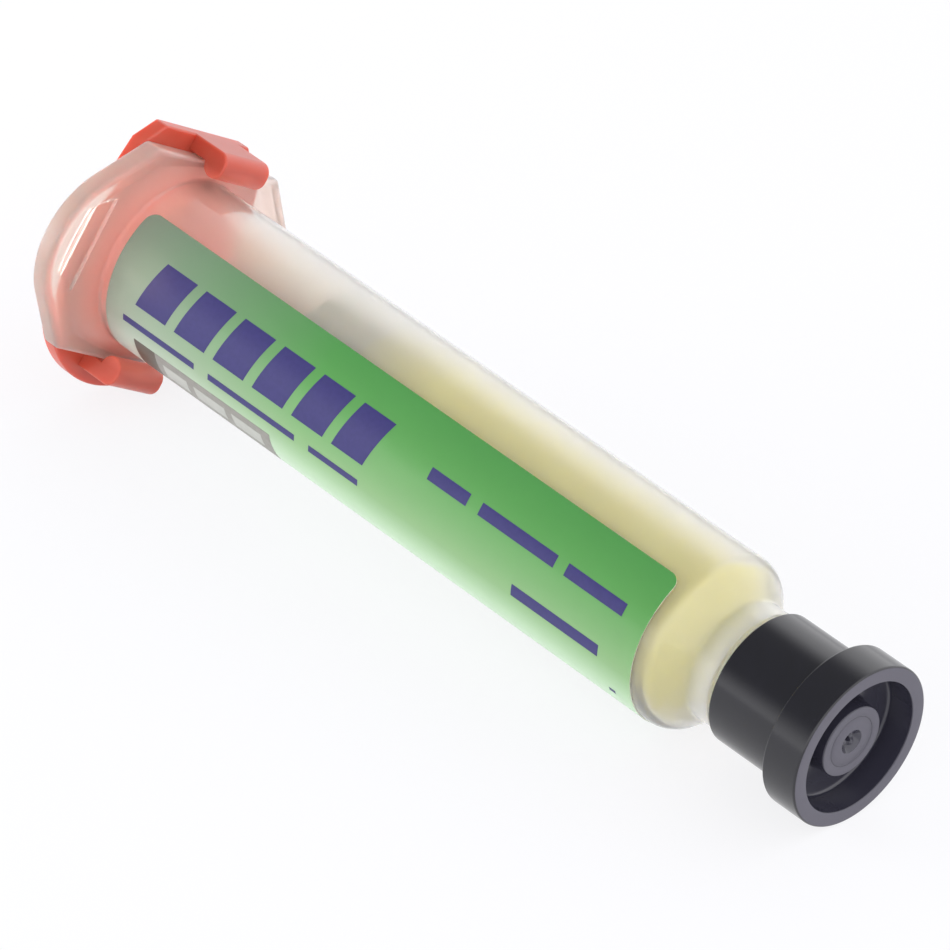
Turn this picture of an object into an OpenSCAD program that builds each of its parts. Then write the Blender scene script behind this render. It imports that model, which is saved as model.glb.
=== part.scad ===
// Flux syringe: a 10 ml paste barrel with a piston, a push-on end cap and a twist-off tip cap.
// Every piece is drawn about the barrel's axis: Z runs to the nozzle, X along the finger wings,
// and Z = 0 is the flange's rear face. at_rest() then lays the whole syringe on the table.

/* [Barrel] */
// Outside diameter of the barrel
barrel_od = 18.1; // [16:0.1:20]
// Thickness of the barrel's wall
barrel_wall = 1.15; // [0.8:0.05:1.6]
// Height of the straight tube, from the flange's rear face
tube_h = 75.4; // [60:0.1:90]
// Radius of the rounded shoulder edge
shoulder_r = 2.2; // [1:0.1:3]

/* [Flange] */
// Width of the flange across the finger wings
flange_w = 34.4; // [33:0.1:40]
// Distance of the flange's middle from the axis
flange_shift = -0.6; // [-1:0.1:0]
// Width of the flange across its flats
flange_d = 21.8; // [20.5:0.1:24]
// Thickness of the flange
flange_t = 2.1; // [1.6:0.1:3]
// Radius of each wing's round end
wing_r = 8.75; // [8:0.05:10]
// Angle between a flat and the tapered edge beside it
wing_taper = 43; // [38:1:50]

/* [Nozzle] */
// Outside diameter of the collar that locks a needle or a cap
lock_od = 11.6; // [11:0.1:12.2]
// Inside diameter of the lock collar
lock_id = 8; // [7.6:0.1:8.4]
// Diameter of the luer tip at its end
luer_tip_d = 3.92; // [3.7:0.02:4.1]
// Diameter of the channel through the nozzle
channel_d = 2.2; // [1.5:0.1:2.6]
// Length of the luer tip in front of the lock collar
luer_out = 2.5; // [2:0.1:3.5]

/* [Label] */
// Length of the label
label_l = 72.15; // [50:0.05:74]
// Gap between the flange's front face and the label
label_from_flange = 0.6; // [0.3:0.1:5]
// Thickness of the label's film
label_t = 0.1; // [0.06:0.01:0.2]
// Angle that the label wraps around the barrel
label_wrap = 235; // [180:1:300]
// Angle from the wing direction to the label's near edge
label_from = 146.5; // [120:0.5:160]
// Radius of the label's corners
label_corner = 1.2; // [0.5:0.1:3]

/* [Filling] */
// Height of the piston's rear rim above the flange's rear face
piston_z = 23.5; // [15:0.5:30]
// Length of the piston's skirt
piston_skirt = 7.5; // [6:0.5:12]
// Wall of the piston
piston_wall = 1.1; // [0.8:0.1:1.6]

/* [End cap] */
// Thickness of the cap's plate
plate_t = 1.7; // [1.2:0.1:2.5]
// Radius of the thumb tab at the plate's lower end
tab_r = 12.4; // [12:0.1:12.8]
// Distance of the thumb tab's centre below the axis
tab_drop = 2; // [1.6:0.1:2.4]
// Width of each hook
hook_w = 7; // [5:0.5:9]
// Distance from the axis to the outside of each hook
hook_out = 12.75; // [12.4:0.05:13.5]
// Distance from the axis to the nose of each hook's lip
lip_in = 9.9; // [9.85:0.05:10.3]
// Thickness of each hook's lip
lip_t = 2.6; // [2:0.1:3]
// Length of the plug inside the barrel
plug_l = 3; // [2:0.5:16]

/* [Tip cap] */
// Outside diameter of the grip collar
grip_od = 16.6; // [15:0.1:18]
// Height of the grip collar
grip_h = 4.1; // [3:0.1:6]
// Outside diameter of the sleeve
sleeve_od = 13.5; // [13:0.1:14]
// Height of the sleeve behind the grip collar
sleeve_h = 8.4; // [7:0.1:9]
// Depth of the ring-shaped recess in the front face
recess_h = 3; // [2:0.1:3.2]
// Diameter of the centre post
post_d = 7.3; // [6.8:0.1:8]
// Depth of the post's face below the cap's front face
post_down = 1.03; // [0.5:0.01:1.5]

/* [Hidden] */
$fn = 96;
eps = 0.01;
over = 1;

barrel_r = barrel_od / 2;
bore_r = barrel_r - barrel_wall;
channel_r = channel_d / 2;

// The shoulder is a rounded edge and then a 45 degree cone down to the nozzle's root
cone_z = tube_h + shoulder_r * sin(45);
cone_r = barrel_r - shoulder_r * (1 - cos(45));
root_step = 0.4;
root_r = lock_od / 2 + root_step;
root_z = cone_z + cone_r - root_r;
root_h = 2.6;
lock_z = root_z + root_h;
lock_h = 7.7;
luer_z = lock_z + lock_h + luer_out;
lock_floor_t = 1.7;
lock_floor = lock_z + lock_floor_t;
luer_taper = 0.03;
luer_root_r = luer_tip_d / 2 + luer_taper * (luer_z - lock_floor);

// The bore's cone runs parallel to the outside at the wall's own thickness
bore_cone_sum = cone_z + cone_r - barrel_wall * sqrt(2);
bore_z = bore_cone_sum - bore_r;
bore_tip = bore_cone_sum - channel_r;

// A wing's tapered edge is tangent to its round end and meets the flat at this corner
wing_x = flange_w / 2 - wing_r;
tangent = [wing_x + wing_r * sin(wing_taper), wing_r * cos(wing_taper)];
corner = [tangent.x - (flange_d / 2 - tangent.y) / tan(wing_taper), flange_d / 2];
resting_corner_x = corner.x + flange_shift;
resting_wing_x = wing_x + flange_shift;
pocket_x = 12.2;
pocket_half = 5.05;
pocket_far_half = 3.4;
pocket_w = 3;
pocket_depth = 0.6;
pocket_rib = 0.5;

label_z = flange_t + label_from_flange;

slip = 0.05;
piston_r = bore_r - slip;
piston_top = piston_z + piston_skirt;
nose_inset = 0.5;
nose_r = piston_r - nose_inset;
nose_tip_r = 1.8;
nose_h = nose_r - nose_tip_r;
rib_h = 1.4;
rib_rise = 0.4;
nose_wall = 1.55;
nose_corner = 0.6;
piston_in = piston_r - piston_wall;
flux_gap = 0.03;
flux_r = bore_r - flux_gap;
flux_end_gap = 0.05;

plate_z = -slip - plate_t;
plate_near = 10.3;
plate_near_cut = 2.2;
plate_far = 8.4;
plate_far_cut = 3.4;
lip_gap = 0.1;
lip_z = flange_t + lip_gap;
lip_nose_r = lip_t / 2;
arm_gap = 0.15;
arm_t = hook_out - flange_d / 2 - arm_gap;
hook_edge_r = 1.2;
plug_wall = 1.1;
plug_lead = 0.6;

cap_ahead = 3;
cap_z = luer_z + cap_ahead;
grip_z = cap_z - grip_h;
sleeve_z = grip_z - sleeve_h;
sleeve_gap = 0.2;
sleeve_in = lock_od / 2 + sleeve_gap;
sleeve_top_drop = 1.7;
sleeve_top = luer_z - sleeve_top_drop;
socket_gap = 0.5;
socket_r = lock_id / 2 - socket_gap;
socket_inset = 1.5;
socket_z = sleeve_z + socket_inset;
luer_end_gap = 0.3;
socket_end = luer_z + luer_end_gap;
lug_r = lock_id / 2 - sleeve_gap;
lug_w = 2;
lug_h = 1.2;
gate_r = 1;
gate_h = 0.4;
edge = 0.15;

// At rest the thumb tab, the flange's corner or wing, and the grip collar stand on the table
function roll_at(tilt) =
    let (reach = tab_r - (flange_t + slip) * tan(tilt))
    let (across = resting_corner_x, down = corner.y - tab_drop)
    let (share = reach / norm([across, down]))
    let (on_corner = share < 1 ? atan2(across, down) - acos(share) : 90)
    let (wing_lift = asin((reach - wing_r) / norm([resting_wing_x, tab_drop])))
    let (on_wing = wing_lift + atan2(tab_drop, resting_wing_x))
    min(on_corner, on_wing);
function tilt_at(roll) =
    atan2(tab_r + tab_drop * cos(roll) - grip_od / 2, cap_z - edge + slip);
function settled(tilt, turns) = turns == 0 ? tilt : settled(tilt_at(roll_at(tilt)), turns - 1);
rest_tilt = settled(4, 6);
rest_roll = roll_at(rest_tilt);
tab_reach = tab_r + tab_drop * cos(rest_roll);
rest_height = grip_od / 2 * cos(rest_tilt) + (cap_z - edge) * sin(rest_tilt);
rest_across = -flange_shift * cos(rest_roll);
rest_rear = plate_z * cos(rest_tilt) - tab_reach * sin(rest_tilt);
rest_front = cap_z * cos(rest_tilt) + (grip_od / 2 - edge) * sin(rest_tilt);

module at_rest() {
    translate([-(rest_rear + rest_front) / 2, rest_across, rest_height])
        rotate([0, 90 + rest_tilt, 0])
            rotate([0, 0, 90 - rest_roll])
                children();
}

// Solid of the barrel's outside: tube, rounded shoulder, cone, nozzle root and lock collar
module barrel_outside() {
    rotate_extrude() {
        polygon([
            [0, 0],
            [barrel_r, 0],
            [barrel_r, tube_h],
            [cone_r, cone_z],
            [root_r, root_z],
            [root_r, lock_z],
            [lock_od / 2, lock_z],
            [lock_od / 2, lock_z + lock_h],
            [0, lock_z + lock_h]
        ]);
        translate([barrel_r - shoulder_r, tube_h])
            circle(r = shoulder_r);
    }
}

// Space inside the barrel, open at the rear and running out through the luer tip
module barrel_bore() {
    rotate_extrude()
        polygon([
            [0, -over],
            [bore_r, -over],
            [bore_r, bore_z],
            [channel_r, bore_tip],
            [channel_r, luer_z + over],
            [0, luer_z + over]
        ]);
}

// Space in the lock collar around the luer tip
module lock_space() {
    difference() {
        translate([0, 0, lock_floor])
            cylinder(r = lock_id / 2, h = lock_h);
        translate([0, 0, lock_floor - eps])
            luer_tip(eps);
    }
}

module luer_tip(below) {
    cylinder(r1 = luer_root_r, r2 = luer_tip_d / 2, h = luer_z - lock_floor + below);
}

module flange_outline() {
    polygon([
        corner,
        tangent,
        [tangent.x, -tangent.y],
        [corner.x, -corner.y],
        [-corner.x, -corner.y],
        [-tangent.x, -tangent.y],
        [-tangent.x, tangent.y],
        [-corner.x, corner.y]
    ]);
    for (side = [-1, 1])
        translate([side * wing_x, 0])
            circle(r = wing_r);
}

// Shallow pocket in a wing's front face, with a rib left standing along its middle
module wing_pocket() {
    rib_x = pocket_x + pocket_w / 2;
    difference() {
        translate([0, 0, flange_t - pocket_depth])
            linear_extrude(pocket_depth + over)
                polygon([
                    [pocket_x, -pocket_half],
                    [pocket_x + pocket_w, -pocket_far_half],
                    [pocket_x + pocket_w, pocket_far_half],
                    [pocket_x, pocket_half]
                ]);
        translate([rib_x - pocket_rib / 2, -pocket_half, 0])
            cube([pocket_rib, 2 * pocket_half, flange_t]);
    }
}

module barrel() {
    color([0.93, 0.91, 0.86])
        at_rest()
            difference() {
                union() {
                    difference() {
                        barrel_outside();
                        lock_space();
                    }
                    translate([0, 0, lock_floor - eps])
                        luer_tip(eps);
                    translate([flange_shift, 0, 0])
                        linear_extrude(flange_t)
                            flange_outline();
                }
                barrel_bore();
                for (turn = [0, 180])
                    translate([flange_shift, 0, 0])
                        rotate([0, 0, turn])
                            wing_pocket();
            }
}

// What a corner's rounding takes off the label, cut along the barrel's radius
module label_corner_waste() {
    reach = label_corner + eps;
    rotate([90, 0, 90])
        translate([0, 0, barrel_r - over])
            linear_extrude(2 * over)
                polygon([
                    [-over, -over],
                    [label_corner, -over],
                    for (turn = [270:-10:180])
                        [label_corner + reach * cos(turn), label_corner + reach * sin(turn)],
                    [-over, label_corner]
                ]);
}

module label() {
    color([0.45, 0.68, 0.43])
        at_rest()
            translate([0, 0, label_z])
                rotate([0, 0, label_from])
                    difference() {
                        rotate_extrude(angle = label_wrap)
                            translate([barrel_r + eps, 0])
                                square([label_t, label_l]);
                        for (side = [0, 1], end = [0, 1])
                            rotate([0, 0, side * label_wrap])
                                translate([0, 0, end * label_l])
                                    mirror([0, side, 0])
                                        mirror([0, 0, end])
                                            label_corner_waste();
                    }
}

// The paste fills the barrel from the piston's nose to the nozzle
module flux() {
    gap = flux_end_gap;
    color([0.84, 0.83, 0.6])
        at_rest()
            rotate_extrude()
                polygon([
                    [0, piston_top + nose_h + gap],
                    [nose_tip_r + gap, piston_top + nose_h + gap],
                    [nose_r + gap, piston_top + gap],
                    [flux_r, piston_top + gap],
                    [flux_r, bore_z - gap],
                    [channel_r, bore_tip - gap * 2],
                    [0, bore_tip - gap * 2]
                ]);
}

// Cup with a sealing rib at each end of its skirt and a nose that matches the barrel's cone
module piston() {
    color([0.92, 0.92, 0.9])
        at_rest()
            rotate_extrude()
                polygon([
                    [piston_in, piston_z],
                    [piston_r, piston_z],
                    [piston_r, piston_z + rib_h],
                    [piston_r - rib_rise, piston_z + rib_h + rib_rise],
                    [piston_r - rib_rise, piston_top - rib_h - rib_rise],
                    [piston_r, piston_top - rib_h],
                    [piston_r, piston_top],
                    [nose_r, piston_top],
                    [nose_tip_r, piston_top + nose_h],
                    [0, piston_top + nose_h],
                    [0, piston_top + nose_h - nose_wall],
                    [nose_tip_r - nose_corner, piston_top + nose_h - nose_wall],
                    [piston_in - rib_rise, piston_top - piston_wall],
                    [piston_in - rib_rise, piston_z + rib_h + rib_rise],
                    [piston_in, piston_z + rib_h]
                ]);
}

module plate_outline() {
    polygon([
        [-tab_r, -tab_drop],
        [-plate_near, hook_out - plate_near_cut],
        [-plate_near + plate_near_cut, hook_out],
        [plate_far - plate_far_cut, hook_out],
        [plate_far, hook_out - plate_far_cut],
        [tab_r, -tab_drop]
    ]);
    translate([0, -tab_drop])
        circle(r = tab_r);
}

// Side view of a hook: Z to the right, outwards up
module hook_profile() {
    arm_y = hook_out - arm_t;
    translate([plate_z, arm_y])
        square([lip_z + lip_t - hook_edge_r - plate_z, arm_t]);
    translate([lip_z, arm_y])
        square([lip_t, arm_t - hook_edge_r]);
    translate([lip_z + lip_t - hook_edge_r, hook_out - hook_edge_r])
        circle(r = hook_edge_r);
    translate([lip_z, lip_in + lip_nose_r])
        square([lip_t, arm_y - lip_in - lip_nose_r + eps]);
    translate([lip_z + lip_nose_r, lip_in + lip_nose_r])
        circle(r = lip_nose_r);
}

module hook() {
    translate([hook_w / 2, 0, 0])
        rotate([0, -90, 0])
            linear_extrude(hook_w)
                hook_profile();
}

module end_cap() {
    plug_r = bore_r - slip;
    color([0.93, 0.42, 0.33])
        at_rest()
            difference() {
                union() {
                    translate([0, 0, plate_z])
                        linear_extrude(plate_t)
                            plate_outline();
                    translate([0, 0, plate_z + eps])
                        cylinder(r = plug_r, h = plug_l - plug_lead - plate_z - eps);
                    translate([0, 0, plug_l - plug_lead])
                        cylinder(r1 = plug_r, r2 = plug_r - plug_lead / 2, h = plug_lead);
                    for (turn = [0, 180])
                        rotate([0, 0, turn])
                            hook();
                }
                translate([0, 0, -slip])
                    cylinder(r = plug_r - plug_wall, h = plug_l + over);
            }
}

module tip_cap() {
    recess_z = cap_z - recess_h;
    color([0.13, 0.13, 0.15])
        at_rest()
            difference() {
                union() {
                    rotate_extrude()
                        difference() {
                            polygon([
                                [0, sleeve_top],
                                [sleeve_in, sleeve_top],
                                [sleeve_in, sleeve_z],
                                [sleeve_od / 2, sleeve_z],
                                [sleeve_od / 2, grip_z],
                                [grip_od / 2 - edge, grip_z],
                                [grip_od / 2, grip_z + edge],
                                [grip_od / 2, cap_z - edge],
                                [grip_od / 2 - edge, cap_z],
                                [0, cap_z]
                            ]);
                            translate([post_d / 2, recess_z])
                                square([sleeve_od / 2 - post_d / 2, recess_h + over]);
                            translate([0, cap_z - post_down])
                                square([post_d / 2 + over, recess_h]);
                        }
                    translate([0, 0, socket_z])
                        cylinder(r = socket_r, h = sleeve_top - socket_z + eps);
                    intersection() {
                        translate([-lock_id, -lug_w / 2, socket_z])
                            cube([2 * lock_id, lug_w, lug_h]);
                        translate([0, 0, socket_z])
                            cylinder(r = lug_r, h = lug_h);
                    }
                }
                translate([0, 0, lock_floor])
                    socket_bore();
                translate([0, 0, cap_z - post_down - gate_h])
                    cylinder(r = gate_r, h = gate_h + over);
            }
}

// The luer tip's own taper, a slip fit wider and closed in front of the tip
module socket_bore() {
    cylinder(r1 = luer_root_r + slip, r2 = luer_tip_d / 2 + slip, h = luer_z - lock_floor);
    translate([0, 0, luer_z - lock_floor - eps])
        cylinder(r = luer_tip_d / 2 + slip, h = socket_end - luer_z + eps);
}

barrel();
label();
flux();
piston();
end_cap();
tip_cap();
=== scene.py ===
"""Flux syringe, dressed for its photograph.

Each piece is built in millimetres about the barrel's axis, as it would be drawn on a bench: Z runs
to the nozzle, X along the finger wings, and Z = 0 is the flange's rear face. LYING then lays it on
the table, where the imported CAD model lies.
"""

import math

import bmesh
import bpy
from mathutils import Matrix, Vector


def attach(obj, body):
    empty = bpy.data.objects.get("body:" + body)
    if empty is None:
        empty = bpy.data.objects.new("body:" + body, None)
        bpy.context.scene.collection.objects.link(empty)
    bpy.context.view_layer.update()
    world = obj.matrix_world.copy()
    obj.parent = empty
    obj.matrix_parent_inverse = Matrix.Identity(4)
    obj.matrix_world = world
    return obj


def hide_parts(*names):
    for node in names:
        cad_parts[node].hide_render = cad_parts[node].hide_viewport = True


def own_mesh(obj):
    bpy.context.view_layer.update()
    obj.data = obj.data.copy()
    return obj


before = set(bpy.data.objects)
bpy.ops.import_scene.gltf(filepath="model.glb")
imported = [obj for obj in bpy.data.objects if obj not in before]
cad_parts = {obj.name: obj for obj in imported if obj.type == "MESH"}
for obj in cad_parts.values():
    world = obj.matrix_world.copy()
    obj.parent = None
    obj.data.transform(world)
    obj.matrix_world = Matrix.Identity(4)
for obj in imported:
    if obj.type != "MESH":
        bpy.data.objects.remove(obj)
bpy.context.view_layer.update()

MM = 0.001

# Sizes of the barrel, in millimetres
BARREL_R = 9.05
WALL = 1.15
BORE_R = BARREL_R - WALL
TUBE_H = 75.4
SHOULDER_R = 2.2
FLANGE_T = 2.1
FLANGE_HALF = 10.9
FLANGE_SHIFT = -0.6
WING_R = 8.75
WING_X = 8.45
WING_TAPER = math.radians(43)
POCKET_X = 11.3
POCKET_HALF = 5.05
LOCK_R = 5.8
LOCK_IN = 4.0
LUER_R = 1.96
LUER_TAPER = 0.03
CHANNEL_R = 1.1
ROOT_R = LOCK_R + 0.4

# Heights along the barrel. A 45 degree cone joins the tube to the nozzle's root, inside and outside,
# and an edge rounded by a radius starts this share of it before the corner
CORNER_SHARE = math.tan(math.radians(45 / 2))
TUBE_CORNER_Z = TUBE_H + SHOULDER_R * CORNER_SHARE
ROOT_Z = TUBE_CORNER_Z + BARREL_R - ROOT_R
LOCK_Z = ROOT_Z + 2.6
LOCK_FLOOR = LOCK_Z + 1.7
LOCK_END = LOCK_Z + 7.7
LUER_END = LOCK_END + 2.5
LUER_ROOT_R = LUER_R + LUER_TAPER * (LUER_END - LOCK_FLOOR)
BORE_CONE_Z = TUBE_CORNER_Z - WALL * CORNER_SHARE
BORE_TIP_Z = BORE_CONE_Z + BORE_R - CHANNEL_R

# Sizes of the label, with angles in degrees from the far wing
LABEL_FROM = 146.5
LABEL_WRAP = 235.0
LABEL_Z = FLANGE_T + 0.6
LABEL_L = 72.15
LABEL_T = 0.1
LABEL_CORNER = 1.2
LABEL_R = BARREL_R + 0.01

# Sizes of the piston and the paste
SLIP = 0.05
PISTON_R = BORE_R - SLIP
PISTON_Z = 23.5
PISTON_TOP = PISTON_Z + 7.5
NOSE_R = PISTON_R - 0.5
NOSE_TIP_R = 1.8
NOSE_H = NOSE_R - NOSE_TIP_R
FLUX_R = BORE_R - 0.03

# Sizes of the end cap. Its plate is near and far along the wings, as the camera sees them
PLATE_T = 1.7
PLATE_Z = -SLIP - PLATE_T
PLATE_NEAR = 10.3
PLATE_NEAR_CUT = 2.2
PLATE_FAR = 8.4
PLATE_FAR_CUT = 3.4
TAB_R = 12.4
TAB_DROP = 2.0
HOOK_W = 7.0
HOOK_OUT = 12.75
ARM_T = HOOK_OUT - FLANGE_HALF - 0.15
LIP_IN = 9.9
LIP_Z = FLANGE_T + 0.1
LIP_T = 2.6
PLUG_R = BORE_R - SLIP
PLUG_WALL = 1.1
PLUG_L = 3.0

# Sizes of the tip cap
CAP_END = LUER_END + 3
CAP_EDGE = 0.15
GRIP_R = 8.3
GRIP_Z = CAP_END - 4.1
SLEEVE_R = 6.75
SLEEVE_Z = GRIP_Z - 8.4
SLEEVE_IN = LOCK_R + 0.2
SLEEVE_TOP = LUER_END - 1.7
RECESS_Z = CAP_END - 3
POST_R = 3.65
POST_Z = CAP_END - 1.03
SOCKET_R = LOCK_IN - 0.5
SOCKET_Z = SLEEVE_Z + 1.5
SOCKET_END = LUER_END + 0.3


def settled():
    """Tilt and roll at which the thumb tab, the flange's corner and the grip collar touch the table."""
    tangent_x = WING_X + WING_R * math.sin(WING_TAPER)
    tangent_y = WING_R * math.cos(WING_TAPER)
    across = tangent_x - (FLANGE_HALF - tangent_y) / math.tan(WING_TAPER) + FLANGE_SHIFT
    down = FLANGE_HALF - TAB_DROP
    tilt = math.radians(4)
    for _ in range(8):
        reach = TAB_R - (FLANGE_T + SLIP) * math.tan(tilt)
        roll = math.atan2(across, down) - math.acos(reach / math.hypot(across, down))
        tilt = math.atan2(TAB_R + TAB_DROP * math.cos(roll) - GRIP_R, CAP_END - CAP_EDGE + SLIP)
    return tilt, roll


def lying():
    """The transform from the bench to the table: the axis lies along X and dips to the nozzle."""
    tilt, roll = settled()
    height = GRIP_R * math.cos(tilt) + (CAP_END - CAP_EDGE) * math.sin(tilt)
    across = -FLANGE_SHIFT * math.cos(roll)
    rear = PLATE_Z * math.cos(tilt) - (TAB_R + TAB_DROP * math.cos(roll)) * math.sin(tilt)
    front = CAP_END * math.cos(tilt) + (GRIP_R - CAP_EDGE) * math.sin(tilt)
    return (
        Matrix.Translation((-(rear + front) / 2 * MM, across * MM, height * MM))
        @ Matrix.Rotation(math.pi / 2 + tilt, 4, "Y")
        @ Matrix.Rotation(math.pi / 2 - roll, 4, "Z")
    )


LYING = lying()
AHEAD = LYING.to_3x3() @ Vector((0, 0, 1))


def linear(hex_colour):
    """An sRGB hex colour as linear red, green, blue and alpha."""
    channels = [int(hex_colour[i : i + 2], 16) / 255 for i in (1, 3, 5)]
    return tuple(c / 12.92 if c <= 0.04045 else ((c + 0.055) / 1.055) ** 2.4 for c in channels) + (1.0,)


# Meshes

# Edges above this angle stay sharp in the shading, and those above the other take a bevel
SHARP = math.radians(35)
BEVELLED = math.radians(40)


def rounded(outline, arc=5):
    """The closed outline (r, z, radius) with each corner of some radius drawn as an arc."""
    points = []
    for i, (r, z, radius) in enumerate(outline):
        if radius == 0:
            points.append((r, z))
            continue
        here = Vector((r, z))
        before = (Vector(outline[i - 1][:2]) - here).normalized()
        after = (Vector(outline[(i + 1) % len(outline)][:2]) - here).normalized()
        half = before.angle(after) / 2
        centre = here + (before + after).normalized() * radius / math.sin(half)
        start = here + before * radius / math.tan(half) - centre
        end = here + after * radius / math.tan(half) - centre
        sweep = math.atan2(start.x * end.y - start.y * end.x, start.dot(end))
        for step in range(arc + 1):
            turn = sweep * step / arc
            x = start.x * math.cos(turn) - start.y * math.sin(turn)
            y = start.x * math.sin(turn) + start.y * math.cos(turn)
            points.append((centre.x + x, centre.y + y))
    return points


def finish_mesh(obj):
    """Outward faces and smooth shading between sharp edges."""
    work = bmesh.new()
    work.from_mesh(obj.data)
    bmesh.ops.recalc_face_normals(work, faces=work.faces)
    work.to_mesh(obj.data)
    work.free()
    obj.data.shade_smooth()
    obj.data.set_sharp_from_angle(angle=SHARP)


def mesh_piece(name, vertices, faces):
    """A smooth-shaded piece on the bench, from points in millimetres."""
    mesh = bpy.data.meshes.new(name)
    mesh.from_pydata([Vector(v) * MM for v in vertices], [], faces)
    obj = bpy.data.objects.new(name, mesh)
    bpy.context.scene.collection.objects.link(obj)
    finish_mesh(obj)
    return obj


def weld(obj):
    """Joins the points that a lathe leaves on its axis, and drops the faces that vanish there."""
    near = 0.0005 * MM
    work = bmesh.new()
    work.from_mesh(obj.data)
    bmesh.ops.remove_doubles(work, verts=work.verts, dist=near)
    bmesh.ops.dissolve_degenerate(work, edges=work.edges, dist=near)
    work.to_mesh(obj.data)
    work.free()


def turned(name, profile, steps=160, reach=None):
    """A closed profile (r, z) swept round the axis. reach says where a point goes at each angle."""
    vertices = []
    for i in range(steps):
        turn = 2 * math.pi * i / steps
        for r, z in profile:
            radius, height = reach(r, z, turn) if reach else (r, z)
            vertices.append((radius * math.cos(turn), radius * math.sin(turn), height))
    faces = []
    count = len(profile)
    for i in range(steps):
        this = i * count
        following = (i + 1) % steps * count
        for j in range(count):
            k = (j + 1) % count
            faces.append((this + j, this + k, following + k, following + j))
    obj = mesh_piece(name, vertices, faces)
    weld(obj)
    finish_mesh(obj)
    return obj


def extruded(name, outline, low, high):
    """A closed prism from an outline (x, y) between two heights."""
    count = len(outline)
    vertices = [(x, y, low) for x, y in outline] + [(x, y, high) for x, y in outline]
    faces = [tuple(range(count)), tuple(range(2 * count - 1, count - 1, -1))]
    for i in range(count):
        k = (i + 1) % count
        faces.append((i, k, count + k, count + i))
    return mesh_piece(name, vertices, faces)


def applied(obj):
    """Takes the piece's modifiers into its mesh."""
    graph = bpy.context.evaluated_depsgraph_get()
    mesh = bpy.data.meshes.new_from_object(obj.evaluated_get(graph))
    obj.modifiers.clear()
    obj.data = mesh
    finish_mesh(obj)
    return obj


def bevelled(obj, width, segments=3):
    """Rounds the piece's edges."""
    bevel = obj.modifiers.new("edges", "BEVEL")
    bevel.width = width * MM
    bevel.segments = segments
    bevel.limit_method = "ANGLE"
    bevel.angle_limit = BEVELLED
    return applied(obj)


def combined(obj, other, operation):
    """Joins another piece to this one, or cuts it away, and removes the other."""
    boolean = obj.modifiers.new("cut", "BOOLEAN")
    boolean.operation = operation
    boolean.solver = "EXACT"
    boolean.object = other
    applied(obj)
    bpy.data.objects.remove(other)
    return obj


def set_in_place(obj, body, node, material):
    """Lays the piece on the table in place of its CAD node, and notes its points' bench places."""
    bench = obj.data.attributes.new("bench", "FLOAT_VECTOR", "POINT")
    bench.data.foreach_set("vector", [value for vertex in obj.data.vertices for value in vertex.co])
    obj.data.transform(LYING)
    flat = obj.modifiers.new("flat_faces", "WEIGHTED_NORMAL")
    flat.keep_sharp = True
    obj.data.materials.clear()
    obj.data.materials.append(material)
    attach(obj, body)
    if node:
        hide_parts(node)
    return obj


# Materials. Each reads its points' bench places, so that its patterns stay with the piece. A
# roughness pattern keeps to one side of 0.275: across that, the denoiser leaves marks like cracks

BENCH = {"attribute_name": "bench"}
COLOURS = {"data_type": "RGBA"}


def empty_material(name):
    """A node material without nodes."""
    material = bpy.data.materials.new(name)
    material.use_nodes = True
    material.node_tree.nodes.clear()
    return material


def add(owner, kind, inputs, settings=None):
    """Adds a node to a material or world. An input takes a plain value or another node's output."""
    node = owner.node_tree.nodes.new("ShaderNode" + kind)
    for key, value in (settings or {}).items():
        setattr(node, key, value)
    for key, value in inputs.items():
        if isinstance(value, bpy.types.NodeSocket):
            owner.node_tree.links.new(value, node.inputs[key])
        else:
            node.inputs[key].default_value = value
    return node


def stretch(length, start, end, low=0.0, high=1.0):
    """Map Range inputs that go from low to high over a stretch given in millimetres."""
    return {"Value": length, "From Min": start * MM, "From Max": end * MM, "To Min": low, "To Max": high}


def mottled(m, place, size, dark, light):
    """A noise in patches of some millimetres, and a colour that follows it between two tones."""
    noise = add(m, "TexNoise", {"Vector": place, "Scale": 1 / (size * MM)}).outputs[0]
    tones = {0: noise, 6: linear(dark), 7: linear(light)}
    return noise, add(m, "Mix", tones, COLOURS).outputs[2]


def from_axis(m, at):
    """Distance from the barrel's axis, of a place that is split into X, Y and Z."""
    flat = add(m, "CombineXYZ", {0: at[0], 1: at[1]}).outputs[0]
    return add(m, "VectorMath", {0: flat}, {"operation": "LENGTH"}).outputs["Value"]


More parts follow.
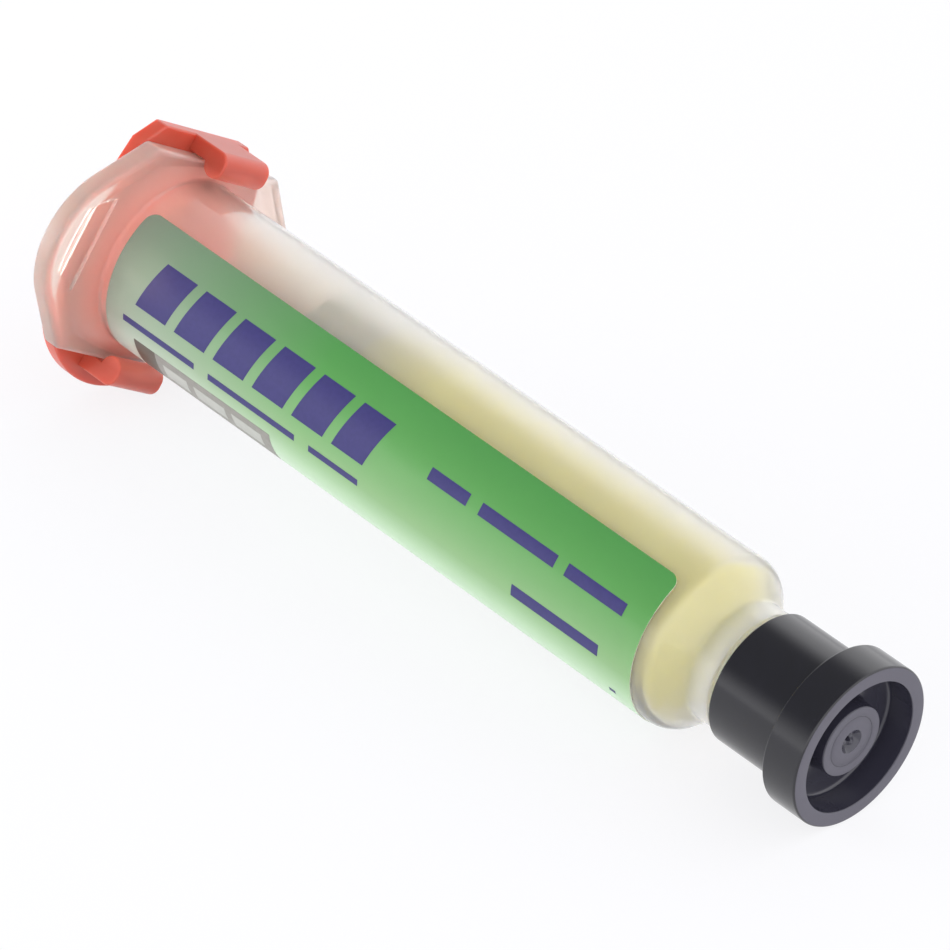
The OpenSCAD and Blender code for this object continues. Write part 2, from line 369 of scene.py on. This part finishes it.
def moulded_polypropylene():
    """Natural polypropylene of the barrel: cream, faintly milky, lets the paste show through."""
    m = empty_material("natural_polypropylene_moulded")
    place = add(m, "Attribute", {}, BENCH).outputs["Vector"]
    height = add(m, "SeparateXYZ", {0: place}).outputs[2]
    flow, natural = mottled(m, place, 6, "#fbf4e7", "#fefaf0")
    rough = add(m, "MapRange", {"Value": flow, "To Min": 0.285, "To Max": 0.32}).outputs[0]
    # The thick flange and nozzle scatter more of the light than the thin tube does
    flange_end = (FLANGE_T, FLANGE_T + 0.8)
    nozzle_start = (78.5, 81)
    tube = add(m, "MapRange", stretch(height, *flange_end, 0.82, 0.87)).outputs[0]
    nozzle = add(m, "MapRange", stretch(height, *nozzle_start, 0, 0.3)).outputs[0]
    clear = add(m, "Math", {0: tube, 1: nozzle}, {"operation": "SUBTRACT"}).outputs[0]
    skin = add(m, "MapRange", stretch(height, *flange_end, 0.4, 1)).outputs[0]
    # Painted light: the flange is tinted pink, standing in for light from the coral cap that it is packed
    # against
    painted_coral_light = add(m, "MapRange", stretch(height, *flange_end, 0.7, 0)).outputs[0]
    colour = add(m, "Mix", {0: painted_coral_light, 6: natural, 7: linear("#fde0d8")}, COLOURS).outputs[2]
    # Lamps shine through to the paste and the piston, which plain refraction would leave unlit. The
    # empty end and the nozzle's root let in more than the filled stretch between them
    empty_end = (8, PISTON_Z)
    cone_end = (77, 81)
    shadow = add(m, "LightPath", {}).outputs["Is Shadow Ray"]
    filled = add(m, "MapRange", stretch(height, *empty_end, 0.1, 0.45)).outputs[0]
    root = add(m, "MapRange", stretch(height, *cone_end, 0, 0.35)).outputs[0]
    dim = add(m, "Math", {0: filled, 1: root}, {"operation": "SUBTRACT"}).outputs[0]
    alpha = add(m, "MapRange", {"Value": shadow, "To Min": 1, "To Max": dim}).outputs[0]
    surface = add(
        m,
        "BsdfPrincipled",
        {
            "Base Color": colour,
            "Roughness": rough,
            "IOR": 1.3,
            "Transmission Weight": clear,
            "Alpha": alpha,
            "Subsurface Weight": 1.0,
            "Subsurface Radius": (1.0, 0.95, 0.85),
            "Subsurface Scale": 2.0 * MM,
            "Coat Weight": skin,
            "Coat Roughness": 0.06,
        },
    )
    add(m, "OutputMaterial", {"Surface": surface.outputs[0]})
    return m


def printed_film():
    """Polypropylene label film, printed green, with painted light that pales it towards its lower edge, and
    glossy.
    """
    m = empty_material("polypropylene_film_printed_green")
    place = add(m, "Attribute", {}, BENCH).outputs["Vector"]
    at = add(m, "SeparateXYZ", {0: place}).outputs
    # Painted light from below: the green pales over 100 degrees round the axis, from the label's upper edge
    turn = add(m, "Math", {0: at[1], 1: at[0]}, {"operation": "ARCTAN2"}).outputs[0]
    turn = add(m, "Math", {0: turn, 1: 2 * math.pi, 2: 0}, {"operation": "WRAP"}).outputs[0]
    edge = math.radians(LABEL_FROM)
    painted_light_end = math.radians(LABEL_FROM + 100)
    share = add(m, "MapRange", {"Value": turn, "From Min": edge, "From Max": painted_light_end}).outputs[0]
    painted_light_fade = add(m, "ValToRGB", {0: share})
    ramp = painted_light_fade.color_ramp
    ramp.elements[0].color = linear("#4c904a")
    ramp.elements[1].color = linear("#bfdcbb")
    ramp.elements.new(0.35).color = linear("#5b9852")
    ramp.elements.new(0.7).color = linear("#86ac79")
    # The green turns greyer and darker towards the flange
    greyed = (2, 30)
    vivid = add(m, "MapRange", stretch(at[2], *greyed, 0.3, 1)).outputs[0]
    bright = add(m, "MapRange", stretch(at[2], *greyed, 0.88, 1)).outputs[0]
    tint = {"Saturation": vivid, "Value": bright, "Color": painted_light_fade.outputs[0]}
    # The printed green, with the painted light from below laid on it
    printed = add(m, "HueSaturation", tint).outputs[0]
    # Only the outer face is printed, and the film is white behind
    middle = LABEL_R + LABEL_T / 2
    front = add(m, "MapRange", stretch(from_axis(m, at), middle, middle + LABEL_T / 4)).outputs[0]
    colour = add(m, "Mix", {0: front, 6: linear("#f4f1ea"), 7: printed}, COLOURS).outputs[2]
    grain = add(m, "TexNoise", {"Vector": place, "Scale": 1 / (0.4 * MM)}).outputs[0]
    rough = add(m, "MapRange", {"Value": grain, "To Min": 0.28, "To Max": 0.36}).outputs[0]
    waves = add(m, "TexNoise", {"Vector": place, "Scale": 1 / (3 * MM)}).outputs[0]
    relief = add(m, "Bump", {"Height": waves, "Distance": 0.02 * MM}).outputs[0]
    surface = add(
        m,
        "BsdfPrincipled",
        {
            "Base Color": colour,
            "Roughness": rough,
            "IOR": 1.5,
            "Subsurface Weight": 0.4,
            "Subsurface Radius": (1.0, 1.0, 1.0),
            "Subsurface Scale": 0.3 * MM,
            "Normal": relief,
        },
    )
    add(m, "OutputMaterial", {"Surface": surface.outputs[0]})
    return m


def printing_ink(name, dark, light):
    """Ink of the label: a thin layer, a little mottled where it was pressed on."""
    m = empty_material(name)
    place = add(m, "Attribute", {}, BENCH).outputs["Vector"]
    colour = mottled(m, place, 0.5, dark, light)[1]
    surface = add(m, "BsdfPrincipled", {"Base Color": colour, "Roughness": 0.4, "IOR": 1.5})
    add(m, "OutputMaterial", {"Surface": surface.outputs[0]})
    return m


def flux_paste():
    """Pale yellow rosin paste: waxy, slightly uneven, greyer where it thins over the piston."""
    m = empty_material("rosin_flux_paste")
    place = add(m, "Attribute", {}, BENCH).outputs["Vector"]
    height = add(m, "SeparateXYZ", {0: place}).outputs[2]
    clouds = add(m, "TexNoise", {"Vector": place, "Scale": 1 / (4 * MM), "Detail": 3}).outputs[0]
    cloudy = add(m, "MapRange", {"Value": clouds, "From Min": 0.3, "From Max": 0.7}).outputs[0]
    body = add(m, "Mix", {0: cloudy, 6: linear("#dbd860"), 7: linear("#e2e074")}, COLOURS).outputs[2]
    thin = add(m, "MapRange", stretch(height, PISTON_TOP, PISTON_TOP + 9, 1, 0)).outputs[0]
    colour = add(m, "Mix", {0: thin, 6: body, 7: linear("#b8b698")}, COLOURS).outputs[2]
    surface = add(
        m,
        "BsdfPrincipled",
        {
            "Base Color": colour,
            "Roughness": 0.5,
            "IOR": 1.5,
            "Subsurface Weight": 0.3,
            "Subsurface Radius": (1.0, 0.9, 0.5),
            "Subsurface Scale": 1.5 * MM,
        },
    )
    add(m, "OutputMaterial", {"Surface": surface.outputs[0]})
    return m


def moulded_piston():
    """White polyethylene of the piston: waxy and matt, dulled by the paste's film."""
    m = empty_material("white_polyethylene_moulded")
    place = add(m, "Attribute", {}, BENCH).outputs["Vector"]
    flow, colour = mottled(m, place, 1.5, "#aeada5", "#b8b7af")
    rough = add(m, "MapRange", {"Value": flow, "To Min": 0.38, "To Max": 0.5}).outputs[0]
    surface = add(
        m,
        "BsdfPrincipled",
        {
            "Base Color": colour,
            "Roughness": rough,
            "IOR": 1.51,
            "Subsurface Weight": 0.3,
            "Subsurface Scale": 1.0 * MM,
        },
    )
    add(m, "OutputMaterial", {"Surface": surface.outputs[0]})
    return m


def moulded_coral():
    """Coral polyethylene of the end cap: soft sheen, light bleeds through its thin edges."""
    m = empty_material("coral_polyethylene_moulded")
    place = add(m, "Attribute", {}, BENCH).outputs["Vector"]
    at = add(m, "SeparateXYZ", {0: place}).outputs
    flow, colour = mottled(m, place, 2.5, "#b64a38", "#be5542")
    rough = add(m, "MapRange", {"Value": flow, "To Min": 0.285, "To Max": 0.35}).outputs[0]
    # Painted glow: the face that the milky flange lies on emits light, standing in for the light that the
    # flange feeds into it and that shines back through the flange
    under_flange = (9, 11.5)
    painted_glow_reach = add(m, "MapRange", stretch(from_axis(m, at), *under_flange, 0.4, 0)).outputs[0]
    face = add(m, "MapRange", stretch(at[2], -0.3, -0.1)).outputs[0]
    glow = add(m, "Math", {0: painted_glow_reach, 1: face}, {"operation": "MULTIPLY"}).outputs[0]
    surface = add(
        m,
        "BsdfPrincipled",
        {
            "Base Color": colour,
            "Roughness": rough,
            "IOR": 1.51,
            "Subsurface Weight": 0.7,
            "Subsurface Radius": (1.0, 0.4, 0.3),
            "Subsurface Scale": 3.0 * MM,
            # The emission is the painted glow; this face is no lamp
            "Emission Color": linear("#ff9a8a"),
            "Emission Strength": glow,
        },
    )
    add(m, "OutputMaterial", {"Surface": surface.outputs[0]})
    return m


def moulded_black():
    """Black polypropylene of the tip cap: glossy sides, and matt front faces greyed by a painted sheen."""
    m = empty_material("black_polypropylene_moulded")
    place = add(m, "Attribute", {}, BENCH).outputs["Vector"]
    at = add(m, "SeparateXYZ", {0: place}).outputs
    skin = mottled(m, place, 1.2, "#0e0e15", "#13131c")[1]
    # The recess, inside the sleeve from its floor forward, is coloured greyer than the skin
    radius = from_axis(m, at)
    within = add(m, "MapRange", stretch(radius, SLEEVE_R + 0.1, SLEEVE_R + 0.2, 1, 0)).outputs[0]
    deep = add(m, "MapRange", stretch(at[2], RECESS_Z - 0.2, RECESS_Z - 0.1)).outputs[0]
    recess = add(m, "Math", {0: within, 1: deep}, {"operation": "MULTIPLY"}).outputs[0]
    gloss = add(m, "Mix", {0: recess, 6: skin, 7: linear("#34333f")}, COLOURS).outputs[2]
    # The matt faces are those at the front that look ahead. Their grey colour is a painted sheen, and their
    # roughness is the real matt finish
    normal = add(m, "TexCoord", {}).outputs["Normal"]
    facing = add(m, "VectorMath", {0: normal, 1: AHEAD}, {"operation": "DOT_PRODUCT"}).outputs["Value"]
    ahead = add(m, "MapRange", {"Value": facing, "From Min": 0.8, "From Max": 0.98}).outputs[0]
    front = add(m, "MapRange", stretch(at[2], POST_Z - 0.2, POST_Z - 0.1)).outputs[0]
    matt_and_painted_sheen = add(m, "Math", {0: ahead, 1: front}, {"operation": "MULTIPLY"}).outputs[0]
    colour = add(m, "Mix", {0: matt_and_painted_sheen, 6: gloss, 7: linear("#53515c")}, COLOURS).outputs[2]
    rough = add(m, "MapRange", {"Value": matt_and_painted_sheen, "To Min": 0.18, "To Max": 0.55}).outputs[0]
    grain = add(m, "TexNoise", {"Vector": place, "Scale": 1 / (0.3 * MM)}).outputs[0]
    relief = add(m, "Bump", {"Height": grain, "Distance": 0.003 * MM}).outputs[0]
    inputs = {"Base Color": colour, "Roughness": rough, "IOR": 1.6, "Normal": relief}
    surface = add(m, "BsdfPrincipled", inputs)
    add(m, "OutputMaterial", {"Surface": surface.outputs[0]})
    return m


# Pieces


def flange_reach(turn):
    """Distance from the axis to the flange's edge in a direction."""
    across = abs(math.cos(turn))
    up = abs(math.sin(turn))
    wing_x = WING_X + FLANGE_SHIFT * math.copysign(1, math.cos(turn))
    tangent = (wing_x + WING_R * math.sin(WING_TAPER), WING_R * math.cos(WING_TAPER))
    if math.atan2(up, across) < math.atan2(tangent[1], tangent[0]):
        along = wing_x * across
        return along + math.sqrt(along * along - wing_x * wing_x + WING_R * WING_R)
    slope = across * math.sin(WING_TAPER) + up * math.cos(WING_TAPER)
    taper = (wing_x * math.sin(WING_TAPER) + WING_R) / slope
    return min(taper, FLANGE_HALF / up)


def wing_pockets(side):
    """Cutters of one wing's pocket and of the slot beyond it, which leave a rib between them."""
    depth = 0.95
    narrowing = 0.48
    pocket_l = 2.5
    rib = 0.3
    slot = 0.5
    slot_x = POCKET_X + pocket_l + rib
    cutters = []
    for near, far in ((POCKET_X, POCKET_X + pocket_l), (slot_x, slot_x + slot)):
        half_near = POCKET_HALF - (near - POCKET_X) * narrowing
        half_far = POCKET_HALF - (far - POCKET_X) * narrowing
        outline = [(near, -half_near), (far, -half_far), (far, half_far), (near, half_near)]
        outline = [(FLANGE_SHIFT + side * x, side * y) for x, y in outline]
        cutter = extruded("pocket", outline, FLANGE_T - depth, FLANGE_T + 1)
        cutters.append(bevelled(cutter, 0.12, 2))
    return cutters


def make_barrel():
    """Tube, flange, nozzle and lock collar, turned as one section with a round flange."""
    # The round flange is then drawn in or out to its real outline
    nominal = 15.0
    rim = 0.75
    rim_wall = 1.7
    rim_rise = 0.5
    inside = nominal - rim - rim_wall
    root = BARREL_R + 0.35
    profile = rounded(
        [
            (BORE_R, 0, 0.25),
            (nominal, 0, 0.3),
            (nominal, FLANGE_T, 0.6),
            (nominal - rim, FLANGE_T, 0.5),
            (inside, FLANGE_T - rim_rise, 1.5),
            (BARREL_R, FLANGE_T - rim_rise, 0.35),
            (BARREL_R, TUBE_CORNER_Z, SHOULDER_R),
            (ROOT_R, ROOT_Z, 0.8),
            (ROOT_R, LOCK_Z, 0.15),
            (LOCK_R, LOCK_Z, 0.1),
            (LOCK_R, LOCK_END, 0.3),
            (LOCK_IN, LOCK_END, 0.25),
            (LOCK_IN, LOCK_FLOOR, 0.2),
            (LUER_ROOT_R, LOCK_FLOOR, 0.2),
            (LUER_R, LUER_END, 0.15),
            (CHANNEL_R, LUER_END, 0.15),
            (CHANNEL_R, BORE_TIP_Z, 0.4),
            (BORE_R, BORE_CONE_Z, 1.2),
        ],
        7,
    )

    def reach(r, z, turn):
        if r <= root or z > FLANGE_T + 0.01:
            return r, z
        # The rim keeps its width along the wings and narrows along the flats
        far = flange_reach(turn)
        squeeze = min(1.0, (far - root) / (nominal - root))
        if r > inside:
            return far - (nominal - r) * squeeze, z
        far_inside = far - (nominal - inside) * squeeze
        return root + (r - root) * (far_inside - root) / (inside - root), z

    barrel = turned("barrel_shell", profile, 288, reach)
    for side in (-1, 1):
        for cutter in wing_pockets(side):
            combined(barrel, cutter, "DIFFERENCE")
    return set_in_place(barrel, "barrel", "barrel", moulded_polypropylene())


def wrapped_film(rows, low, high, columns):
    """Points and faces of a film between two lifts, from rows of (z, from angle, to angle)."""
    vertices = []
    for lift in (high, low):
        radius = LABEL_R + lift
        for z, start, end in rows:
            for i in range(columns + 1):
                turn = math.radians(start + (end - start) * i / columns)
                vertices.append((radius * math.cos(turn), radius * math.sin(turn), z))
    wide = columns + 1
    layer = len(rows) * wide
    faces = []
    for j in range(len(rows) - 1):
        for i in range(columns):
            a = j * wide + i
            faces.append((a, a + 1, a + wide + 1, a + wide))
            faces.append((layer + a, layer + a + wide, layer + a + wide + 1, layer + a + 1))
    rim = list(range(wide))
    rim += [j * wide + columns for j in range(1, len(rows))]
    rim += [(len(rows) - 1) * wide + i for i in range(columns - 1, -1, -1)]
    rim += [j * wide for j in range(len(rows) - 2, 0, -1)]
    for i, a in enumerate(rim):
        b = rim[(i + 1) % len(rim)]
        faces.append((a, layer + a, layer + b, b))
    return vertices, faces


def make_label():
    """The label's film, with round corners, wrapped part of the way round the barrel."""
    arc = 8
    straight = 24
    corner = []
    for i in range(arc + 1):
        turn = math.pi / 2 * i / arc
        corner.append((LABEL_CORNER * (1 - math.cos(turn)), LABEL_CORNER * (1 - math.sin(turn))))
    insets = [(LABEL_Z + down, back) for down, back in corner]
    insets += [(LABEL_Z + LABEL_L * i / straight, 0) for i in range(1, straight)]
    insets += [(LABEL_Z + LABEL_L - down, back) for down, back in reversed(corner)]
    rows = []
    for z, back in insets:
        shorter = math.degrees(back / LABEL_R)
        rows.append((z, LABEL_FROM + shorter, LABEL_FROM + LABEL_WRAP - shorter))
    vertices, faces = wrapped_film(rows, 0, LABEL_T, 120)
    return set_in_place(mesh_piece("label_film", vertices, faces), "barrel", "label", printed_film())


def row(spans, start, end, slant=0.0):
    """Patches side by side along the label, between two angles, their ends slanted by some mm."""
    return [(z_from, z_to, start, end, slant) for z_from, z_to in spans]


def make_print(name, patches, material, lift=0.0):
    """Printed patches, just proud of the film."""
    steps = 16
    gap = LABEL_T + 0.004 + lift
    ink_t = 0.01
    vertices = []
    faces = []
    for z_from, z_to, start, end, slant in patches:
        lines = [(z_from + (z_to - z_from) * j / steps, start, end) for j in range(steps + 1)]
        points, quads = wrapped_film(lines, gap, gap + ink_t, 12)
        base = len(vertices)
        for x, y, z in points:
            degrees = math.degrees(math.atan2(y, x)) % 360
            vertices.append((x, y, z + slant * (degrees - (start + end) / 2) / (end - start)))
        faces += [tuple(base + v for v in quad) for quad in quads]
    return set_in_place(mesh_piece(name, vertices, faces), "barrel", None, material)


def make_prints():
    """Plain bars, blocks and a panel in place of the label's lettering."""
    violet = printing_ink("violet_ink_printed", "#2c2860", "#35316e")
    grey = printing_ink("grey_ink_printed", "#7a7872", "#918e88")
    brown = printing_ink("brown_ink_printed", "#4c463d", "#5a544a")
    pale = printing_ink("pale_ink_printed", "#a6a7a1", "#b1b2ac")
    bold = row([(7.4 + 5.55 * i, 11.7 + 5.55 * i) for i in range(6)], 168, 201, -1.6)
    thin = row([(5.2, 15.4), (17.4, 29.6), (31.6, 38.4)], 212, 216.5)
    side = row([(46.2, 51.4), (53.0, 63.0), (64.4, 72.0)], 176, 184)
    last = row([(59.2, 70.6)], 208, 216) + row([(71.8, 72.6)], 236, 239)
    marks = row([(10.6, 14.0), (15.0, 19.4), (20.4, 24.6)], 232, 244)
    make_print("label_print", bold + thin + side + last, violet)
    make_print("label_panel", row([(9.6, 26.0)], 226, 252), grey)
    make_print("label_panel_end", row([(6.6, 9.6)], 226, 252), brown)
    make_print("label_panel_marks", marks, pale, 0.012)


def make_flux():
    """The paste between the piston and the nozzle, which flattens ahead of the piston."""
    gap = 0.05
    profile = rounded(
        [
            (0, PISTON_TOP + NOSE_H + gap, 0),
            (NOSE_TIP_R + gap, PISTON_TOP + NOSE_H + gap, 0.3),
            (NOSE_R + gap, PISTON_TOP + gap, 0.2),
            (FLUX_R, PISTON_TOP + gap, 0.1),
            (FLUX_R, BORE_CONE_Z - gap, 1.2),
            (CHANNEL_R, BORE_TIP_Z - 2 * gap, 0.1),
            (0, BORE_TIP_Z - 2 * gap, 0),
        ]
    )
    flux = set_in_place(turned("flux_paste", profile), "barrel", "flux", flux_paste())
    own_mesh(flux)
    return flux


def make_piston():
    """A hollow cup with a rib at each end of its skirt and a cone-shaped nose."""
    wall = 1.1
    rise = 0.4
    rib = 1.4
    inside = PISTON_R - wall
    nose_end = PISTON_TOP + NOSE_H
    nose_in = nose_end - 1.4 * wall
    profile = rounded(
        [
            (inside, PISTON_Z, 0.1),
            (PISTON_R, PISTON_Z, 0.2),
            (PISTON_R, PISTON_Z + rib, 0.2),
            (PISTON_R - rise, PISTON_Z + rib + rise, 0.2),
            (PISTON_R - rise, PISTON_TOP - rib - rise, 0.2),
            (PISTON_R, PISTON_TOP - rib, 0.2),
            (PISTON_R, PISTON_TOP, 0.2),
            (NOSE_R, PISTON_TOP, 0.2),
            (NOSE_TIP_R, nose_end, 0.5),
            (0, nose_end, 0),
            (0, nose_in, 0),
            (NOSE_TIP_R - 0.6, nose_in, 0.4),
            (inside - rise, PISTON_TOP - wall, 0.4),
            (inside - rise, PISTON_Z + rib + rise, 0.2),
            (inside, PISTON_Z + rib, 0.2),
        ]
    )
    return set_in_place(turned("piston_cup", profile), "piston", "piston", moulded_piston())


def plate_outline():
    """The end cap's plate: a round thumb tab below, tapering up to the hooks' width."""
    top = [
        (PLATE_FAR, HOOK_OUT - PLATE_FAR_CUT),
        (PLATE_FAR - PLATE_FAR_CUT, HOOK_OUT),
        (-PLATE_NEAR + PLATE_NEAR_CUT, HOOK_OUT),
        (-PLATE_NEAR, HOOK_OUT - PLATE_NEAR_CUT),
    ]
    steps = 60
    tab = []
    for i in range(steps + 1):
        turn = math.pi * (1 + i / steps)
        tab.append((TAB_R * math.cos(turn), -TAB_DROP + TAB_R * math.sin(turn)))
    return top + tab


def hook_profile(inset):
    """The hook from the side, (z, y): an arm off the plate's edge and a round-nosed lip."""
    nose = LIP_T / 2 * 0.95
    sunk = PLATE_Z + 0.4
    lip_end = LIP_Z + LIP_T
    return rounded(
        [
            (sunk, HOOK_OUT - ARM_T + inset, 0),
            (LIP_Z + inset, HOOK_OUT - ARM_T + inset, 0),
            (LIP_Z + inset, LIP_IN + inset, nose - inset),
            (lip_end - inset, LIP_IN + inset, nose - inset),
            (lip_end - inset, HOOK_OUT - inset, 1.2 - inset),
            (sunk, HOOK_OUT - inset, 0),
        ],
        8,
    )


def make_hook(side):
    """One hook of the end cap. Its two ends are rounded by shrinking the profile towards them."""
    edge = 0.22
    steps = 4
    rings = []
    for i in range(steps + 1):
        turn = math.pi / 2 * i / steps
        rings.append((edge * (1 - math.cos(turn)) - HOOK_W / 2, edge * (1 - math.sin(turn))))
    rings += [(-x, inset) for x, inset in reversed(rings)]
    vertices = []
    for x, inset in rings:
        vertices += [(side * x, side * y, z) for z, y in hook_profile(inset)]
    count = len(vertices) // len(rings)
    faces = [tuple(range(count)), tuple(range(len(vertices) - 1, len(vertices) - 1 - count, -1))]
    for j in range(len(rings) - 1):
        for i in range(count):
            a = j * count + i
            b = j * count + (i + 1) % count
            faces.append((a, b, b + count, a + count))
    return mesh_piece("hook", vertices, faces)


def make_end_cap():
    """Plate, plug and two hooks, moulded as one."""
    plate = bevelled(extruded("end_cap_body", plate_outline(), PLATE_Z, PLATE_Z + PLATE_T), 0.25)
    plug_in = PLUG_R - PLUG_WALL
    plug = rounded(
        [
            (plug_in, PLATE_Z + PLATE_T / 2, 0),
            (PLUG_R, PLATE_Z + PLATE_T / 2, 0),
            (PLUG_R, PLUG_L - 0.6, 0.2),
            (PLUG_R - 0.3, PLUG_L, 0.2),
            (plug_in, PLUG_L, 0.2),
        ]
    )
    combined(plate, turned("plug", plug), "UNION")
    for side in (-1, 1):
        combined(plate, make_hook(side), "UNION")
    return set_in_place(plate, "end_cap", "end_cap", moulded_coral())


def make_tip_cap():
    """Grip collar, sleeve and luer socket, with a post in the front recess and a pit in the post."""
    pit_r = 1.25
    pit_z = POST_Z - 0.5
    hole_z = pit_z - 0.9
    groove_r = 2.6
    groove = 0.1
    luer_gap = 0.05
    profile = rounded(
        [
            (0, hole_z, 0),
            (0.16, hole_z, 0.05),
            (0.34, pit_z, 0.08),
            (0.8, pit_z, 0.1),
            (pit_r, POST_Z, 0.12),
            (groove_r - groove, POST_Z, 0),
            (groove_r, POST_Z - 0.07, 0),
            (groove_r + groove, POST_Z, 0),
            (POST_R, POST_Z, 0.2),
            (POST_R, RECESS_Z, 0.3),
            (SLEEVE_R, RECESS_Z, 0.4),
            (SLEEVE_R, CAP_END, 0.12),
            (GRIP_R, CAP_END, 0.25),
            (GRIP_R, GRIP_Z, 0.2),
            (SLEEVE_R, GRIP_Z, 0.2),
            (SLEEVE_R, SLEEVE_Z, 0.2),
            (SLEEVE_IN, SLEEVE_Z, 0.15),
            (SLEEVE_IN, SLEEVE_TOP, 0.3),
            (SOCKET_R, SLEEVE_TOP, 0.3),
            (SOCKET_R, SOCKET_Z, 0.15),
            (LUER_ROOT_R + luer_gap, SOCKET_Z, 0.15),
            (LUER_R + luer_gap, LUER_END, 0.1),
            (LUER_R + luer_gap, SOCKET_END, 0.1),
            (0, SOCKET_END, 0),
        ]
    )

    def reach(r, z, turn):
        # The gate was torn off in the pit, so its floor is uneven in three lobes
        if z > pit_z - 0.1 and 0.3 < r < pit_r * 0.8:
            return r, z + 0.2 * math.cos(3 * turn + 0.8) * math.sin(math.pi * r / pit_r)
        return r, z

    cap = turned("tip_cap_body", profile, 192, reach)
    return set_in_place(cap, "tip_cap", "tip_cap", moulded_black())


# Stage, light and camera

# Each lamp: name, watts, width, height and place in metres
LAMPS = [
    ("soft_box_behind", 0.15, 0.6, 0.6, (0.1, 0.45, 0.5)),
    ("bounce_sheet_rear", 3.4, 0.5, 0.3, (-0.48, -0.32, 0.07)),
]
LAMPS_AIM = Vector((0, 0, 0.01))
DARK_PATCH = Vector((-0.5, -0.25, 0.8)).normalized()

# The photograph's camera, found on the bench: a long lens, high up and ahead of the nozzle
CAMERA_LENS = 265.26
CAMERA_PLACE = Vector((-530.012, 122.547, 404.288))
CAMERA_RIGHT = Vector((0.56917, 0.45821, 0.6827))
CAMERA_UP = Vector((-0.12467, 0.86881, -0.47919))


def make_stage():
    """A white floor that shows the photograph's white and keeps the syringe's soft shadow."""
    half = 3.0
    corners = [(-half, -half, 0), (half, -half, 0), (half, half, 0), (-half, half, 0)]
    mesh = bpy.data.meshes.new("floor")
    mesh.from_pydata(corners, [], [(0, 1, 2, 3)])
    floor = bpy.data.objects.new("floor", mesh)
    bpy.context.scene.collection.objects.link(floor)
    m = empty_material("white_acrylic_sheet")
    path = add(m, "LightPath", {}).outputs
    seen = add(m, "Math", {0: path["Is Camera Ray"], 1: path["Is Glossy Ray"]}, {"operation": "MAXIMUM"})
    seen = {0: seen.outputs[0], 1: path["Is Transmission Ray"]}
    seen = add(m, "Math", seen, {"operation": "MAXIMUM"}).outputs[0]
    glow = add(m, "Math", {0: seen, 1: 0.83}, {"operation": "MULTIPLY"}).outputs[0]
    # What is seen of it is a darker sheet that glows: together that is white, with a faint shadow
    sheet = add(m, "Mix", {0: seen, 6: linear("#fbfbfd"), 7: linear("#6c6c70")}, COLOURS).outputs[2]
    surface = add(
        m,
        "BsdfPrincipled",
        {
            "Base Color": sheet,
            "Roughness": 0.9,
            "Specular IOR Level": 0.0,
            "Emission Color": linear("#fefeff"),
            "Emission Strength": glow,
        },
    )
    add(m, "OutputMaterial", {"Surface": surface.outputs[0]})
    floor.data.materials.append(m)


def make_tent():
    """A white tent as the world, with a dark patch high over the flange's end."""
    world = bpy.data.worlds.new("light_tent")
    world.use_nodes = True
    world.node_tree.nodes.clear()
    look = add(world, "TexCoord", {}).outputs["Generated"]
    dark = add(world, "VectorMath", {0: look, 1: DARK_PATCH}, {"operation": "DOT_PRODUCT"}).outputs["Value"]
    fall = {"Value": dark, "From Min": 0.5, "From Max": 0.85, "To Min": 1.6, "To Max": 0.35}
    level = add(world, "MapRange", fall, {"interpolation_type": "SMOOTHSTEP"}).outputs[0]
    sky = add(world, "Background", {"Color": linear("#fdfdff"), "Strength": level})
    add(world, "OutputWorld", {"Surface": sky.outputs[0]})
    bpy.context.scene.world = world


def make_lamps():
    """A weak soft box behind and a low sheet at the flange's end, neither seen in the gloss."""
    for name, watts, width, height, place in LAMPS:
        lamp = bpy.data.lights.new(name, "AREA")
        lamp.energy = watts
        lamp.shape = "RECTANGLE"
        lamp.size = width
        lamp.size_y = height
        box = bpy.data.objects.new(name, lamp)
        box.location = place
        box.rotation_euler = (LAMPS_AIM - box.location).to_track_quat("-Z", "Y").to_euler()
        box.visible_glossy = False
        bpy.context.scene.collection.objects.link(box)


def make_camera():
    """Lays the camera's bench place on the table as the syringe is laid."""
    data = bpy.data.cameras.new("photo_camera")
    data.sensor_width = 36
    data.lens = CAMERA_LENS
    data.clip_start = 0.05
    data.clip_end = 20
    camera = bpy.data.objects.new("photo_camera", data)
    axes = Matrix((CAMERA_RIGHT, CAMERA_UP, CAMERA_RIGHT.cross(CAMERA_UP)))
    turn = axes.transposed().to_4x4()
    camera.matrix_world = LYING @ Matrix.Translation(CAMERA_PLACE * MM) @ turn
    bpy.context.scene.collection.objects.link(camera)
    bpy.context.scene.camera = camera


make_barrel()
make_label()
make_flux()
make_piston()
make_end_cap()
make_tip_cap()
make_prints()
make_stage()
make_tent()
make_lamps()
make_camera()
bpy.context.scene.view_settings.view_transform = "Standard"
